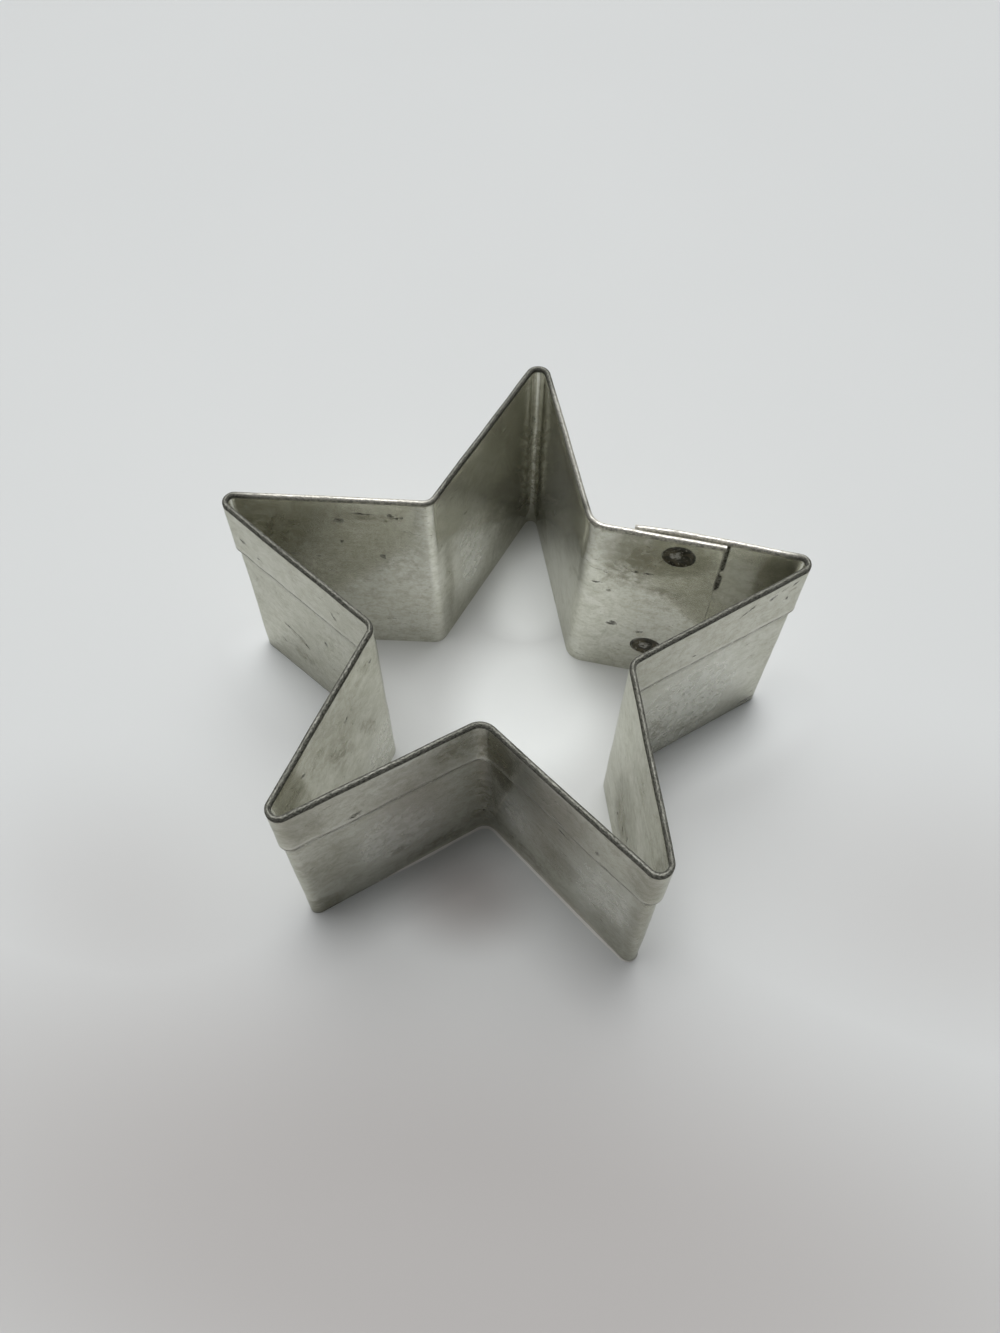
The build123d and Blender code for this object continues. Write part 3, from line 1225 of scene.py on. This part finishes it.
deselect_all()
bpy.ops.mesh.primitive_circle_add(vertices=table_sides, radius=table_radius, fill_type="NGON")
floor = bpy.context.object
floor.name = "table_top"
floor.data.materials.append(table_finish())
floor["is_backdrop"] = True

# %% [markdown]
# One long lamp hangs almost straight above, a little to the left and behind. The sky glows round
# it and low at the back, which leaves the near walls dark. Through Light Path's Is Camera Ray the
# camera sees the sky evenly pale, while the metal mirrors the real one.

# %% The lamp
lamp_place = Vector((-0.06, 0.06, 0.90))
lamp_length = 0.44
lamp_width = 0.18
lamp_watts = 2.70

lamp = bpy.data.lights.new("ceiling_lamp", "AREA")
lamp.shape = "RECTANGLE"
lamp.size = lamp_length
lamp.size_y = lamp_width
lamp.energy = lamp_watts
lamp_holder = bpy.data.objects.new("ceiling_lamp", lamp)
bpy.context.scene.collection.objects.link(lamp_holder)
lamp_holder.location = lamp_place
lamp_holder.rotation_euler = lamp_place.to_track_quat("Z", "Y").to_euler()
print("lamp at mm:", in_mm(*lamp_place), " watts:", lamp_watts)

# %% The sky
sky_colour = (0.97, 0.985, 1.0, 1)
sky_low = 0.082
glow_strength = 3.42
glow_focus = 12
behind_strength = 0.93
seen_strength = 0.72


def soft_sky():
    """A sky that glows overhead and low at the back; the camera sees it evenly pale."""
    board = Board(bpy.data.worlds.new("soft_sky"))
    x, y, z = board.parts(board.texture_place("Generated"))
    overhead = (0.935 * z + 0.345 * y - 0.08 * x).most(0) ** glow_focus
    behind = y.most(0) ** 2
    seen = board.node("ShaderNodeLightPath", {}, output="Is Camera Ray")
    lit = sky_low + glow_strength * overhead + behind_strength * behind
    strength = lit * (1 - seen) + seen_strength * seen
    sky = board.node("ShaderNodeBackground", {}, {"Color": sky_colour, "Strength": strength})
    board.node("ShaderNodeOutputWorld", {}, {"Surface": sky})
    return board.owner


bpy.context.scene.world = soft_sky()
bpy.context.scene.view_settings.view_transform = "Standard"

# %% [markdown]
# The last cell prints the two boxes, of the solids and of what is shown, so that they can be compared.
# The dressed cutter has to stay inside its solids.

# %% Sizes, and the end
shown_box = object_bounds()
print("box of the cutter in mm:", [in_mm(*corner) for corner in shown_box])
